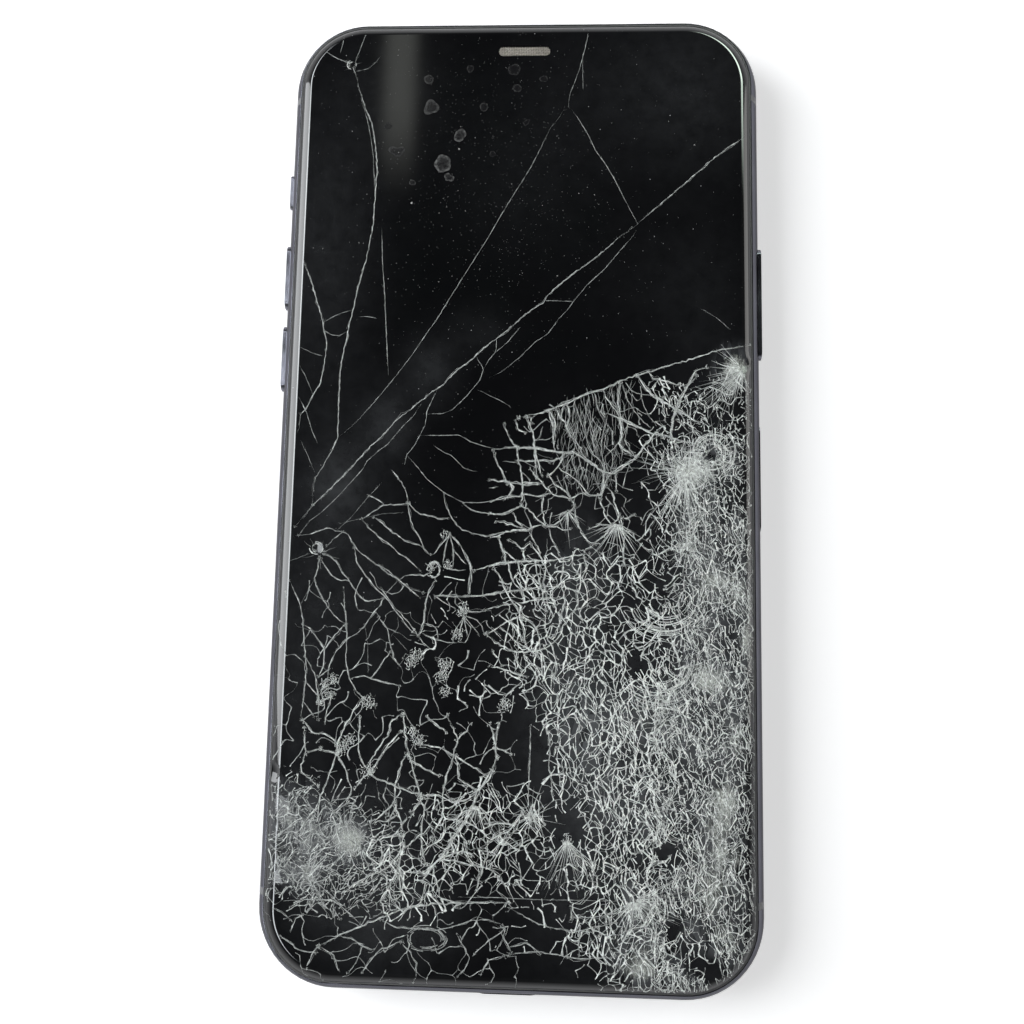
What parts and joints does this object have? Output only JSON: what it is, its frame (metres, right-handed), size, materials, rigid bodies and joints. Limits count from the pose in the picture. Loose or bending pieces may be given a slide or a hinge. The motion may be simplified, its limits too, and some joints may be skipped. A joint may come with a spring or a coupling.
{
  "type": "shattered screen phone",
  "caption": "Touch-screen phone lying on its back, its display glass shattered below a long diagonal, with side buttons, ring switch, card tray and rear camera bump.",
  "frame": {"origin": "middle of the outline on the surface that the phone lies on, under the camera bump", "axes": "+X to the right seen from the front, +Y to the earpiece end, +Z out of the display glass"},
  "size_m": [0.0716, 0.1436, 0.0086],
  "materials": {
    "rail": "polished dark steel with a thin coating, fine scratches",
    "antenna_plastic": "moulded dark grey plastic, flush with the rail",
    "back_glass": "black backed glass, glossy, smudged",
    "steel_plate": "pressed sheet steel",
    "lens_glass": "clear hard glass over black",
    "camera_black": "black moulded housing with a coated lens",
    "flash_amber": "moulded diffuser",
    "board_green": "solder mask",
    "display_glass": "clear glass, shattered, off-white fracture faces, dust and smears",
    "black_plastic": "moulded black plastic",
    "panel_black": "switched off display panel",
    "flex_copper": "polyimide film over copper",
    "mesh_steel": "fine woven steel, dusty",
    "battery_wrap": "black film wrap",
    "adhesive": "white stretch adhesive",
    "screw_steel": "small machine screws",
    "copper": "wound enamelled copper",
    "ferrite": "ferrite sheet",
    "gold_plate": "gold plated contacts",
    "seal_rubber": "moulded rubber"
  },
  "bodies": {
    "phone": {"frame_band": "rail", "antenna_breaks": "antenna_plastic", "back_cover": "back_glass", "back_plate": "steel_plate", "camera_ring": "rail", "camera_window": "lens_glass", "wide_camera": "camera_black", "tele_camera": "camera_black", "camera_bracket": "steel_plate", "flash_lens": "flash_amber", "flash_board": "board_green", "cover_glass": "display_glass", "glass_gasket": "black_plastic", "display_panel": "panel_black", "display_plate": "steel_plate", "display_flex": "flex_copper", "earpiece_mesh": "mesh_steel", "earpiece_speaker": "black_plastic", "front_camera": "camera_black", "infrared_camera": "camera_black", "dot_projector": "camera_black", "sensor_bracket": "steel_plate", "battery": "battery_wrap", "battery_tape": "adhesive", "battery_flex": "flex_copper", "logic_board": "board_green", "board_shields": "steel_plate", "board_screws": "screw_steel", "charging_coil": "copper", "coil_shield": "ferrite", "haptic_motor": "steel_plate", "loudspeaker": "black_plastic", "charging_port": "black_plastic", "port_contacts": "gold_plate", "port_flex": "flex_copper", "bottom_screws": "screw_steel", "microphones": "flex_copper", "sound_meshes": "mesh_steel", "ring_switch_body": "black_plastic", "button_switches": "gold_plate", "button_brackets": "steel_plate", "card_reader": "steel_plate", "tray_gasket": "seal_rubber", "connector_cover": "steel_plate", "cover_screws": "screw_steel", "wifi_antenna": "flex_copper"},
    "volume_up": {"volume_up_button": "rail"},
    "volume_down": {"volume_down_button": "rail"},
    "side_key": {"side_button": "rail"},
    "ring_lever": {"ring_switch": "rail"},
    "tray": {"card_tray": "rail"}
  },
  "joints": [
    {"name": "volume_up_press", "type": "slide", "parent": "phone", "child": "volume_up", "axis": [1, 0, 0], "range_m": [0, 0.00025], "stiffness_N_per_m": 2000, "springref_m": -0.0002},
    {"name": "volume_down_press", "type": "slide", "parent": "phone", "child": "volume_down", "axis": [1, 0, 0], "range_m": [0, 0.00025], "stiffness_N_per_m": 2000, "springref_m": -0.0002},
    {"name": "side_press", "type": "slide", "parent": "phone", "child": "side_key", "axis": [-1, 0, 0], "range_m": [0, 0.00025], "stiffness_N_per_m": 2000, "springref_m": -0.0002},
    {"name": "ring_slide", "type": "slide", "parent": "phone", "child": "ring_lever", "axis": [0, 0, -1], "range_m": [0, 0.001]},
    {"name": "tray_slide", "type": "slide", "parent": "phone", "child": "tray", "axis": [1, 0, 0], "range_m": [0, 0.016]}
  ]
}
